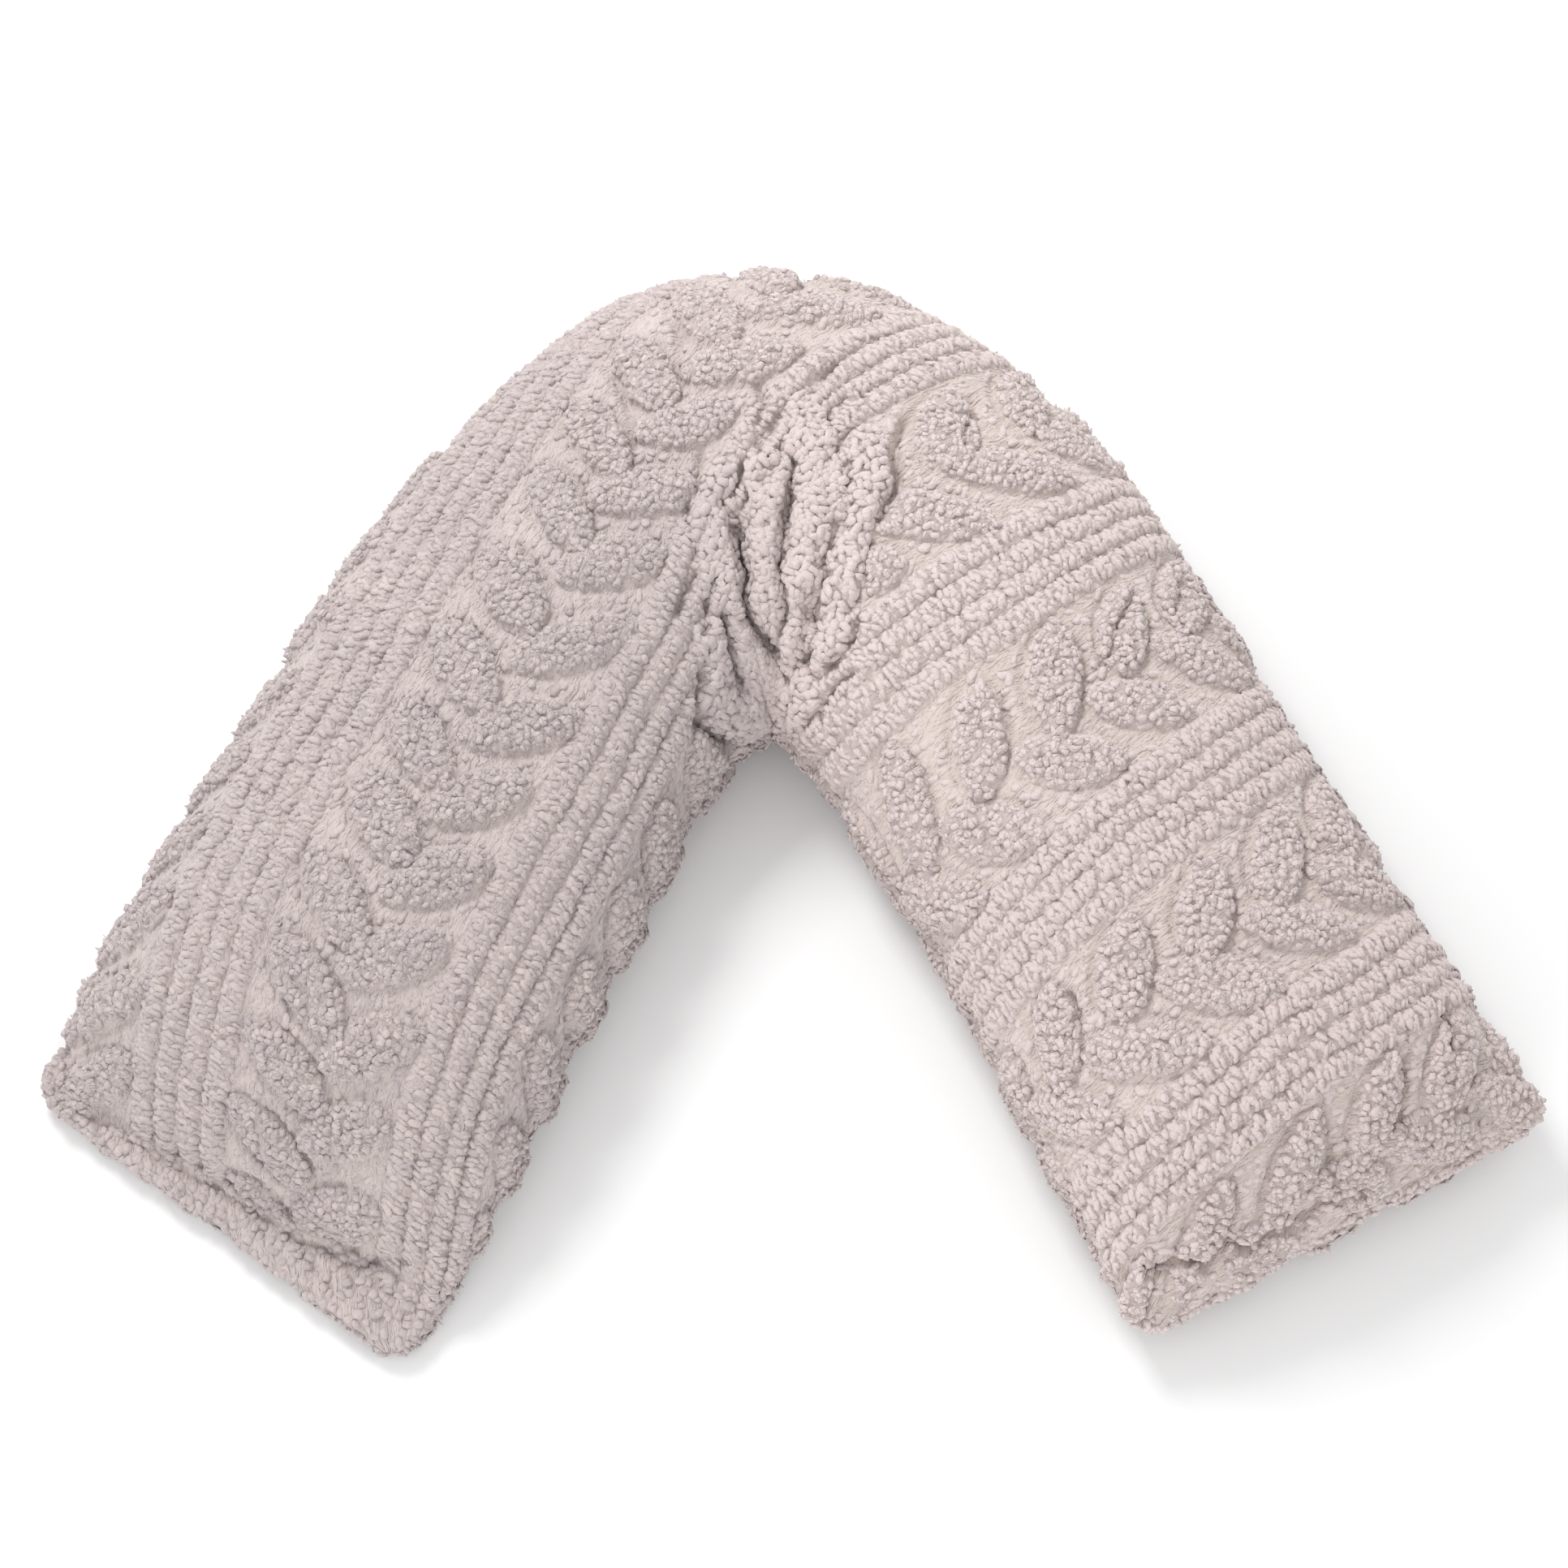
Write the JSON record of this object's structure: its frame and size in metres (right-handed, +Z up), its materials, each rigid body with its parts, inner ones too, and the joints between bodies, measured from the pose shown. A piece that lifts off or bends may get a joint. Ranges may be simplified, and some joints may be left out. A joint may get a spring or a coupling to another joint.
{
  "type": "v-shaped pillow",
  "caption": "V-shaped support pillow lying on its back: a filled bent bolster with gathered inner bend, in a deep-pile fleece cover with raised ribs and leaf pads.",
  "frame": {"origin": "centre of the plan box, on the plane the pillow rests on", "axes": "+X from the left arm's end to the right arm's end, +Y from the arm ends towards the bend, +Z up out of the front"},
  "size_m": [1.0474, 0.7946, 0.1765],
  "materials": {
    "fleece": "curly deep-pile fleece, matt, with raised ribs and leaf pads"
  },
  "bodies": {
    "root": {"v_pillow": "fleece"}
  },
  "joints": []
}
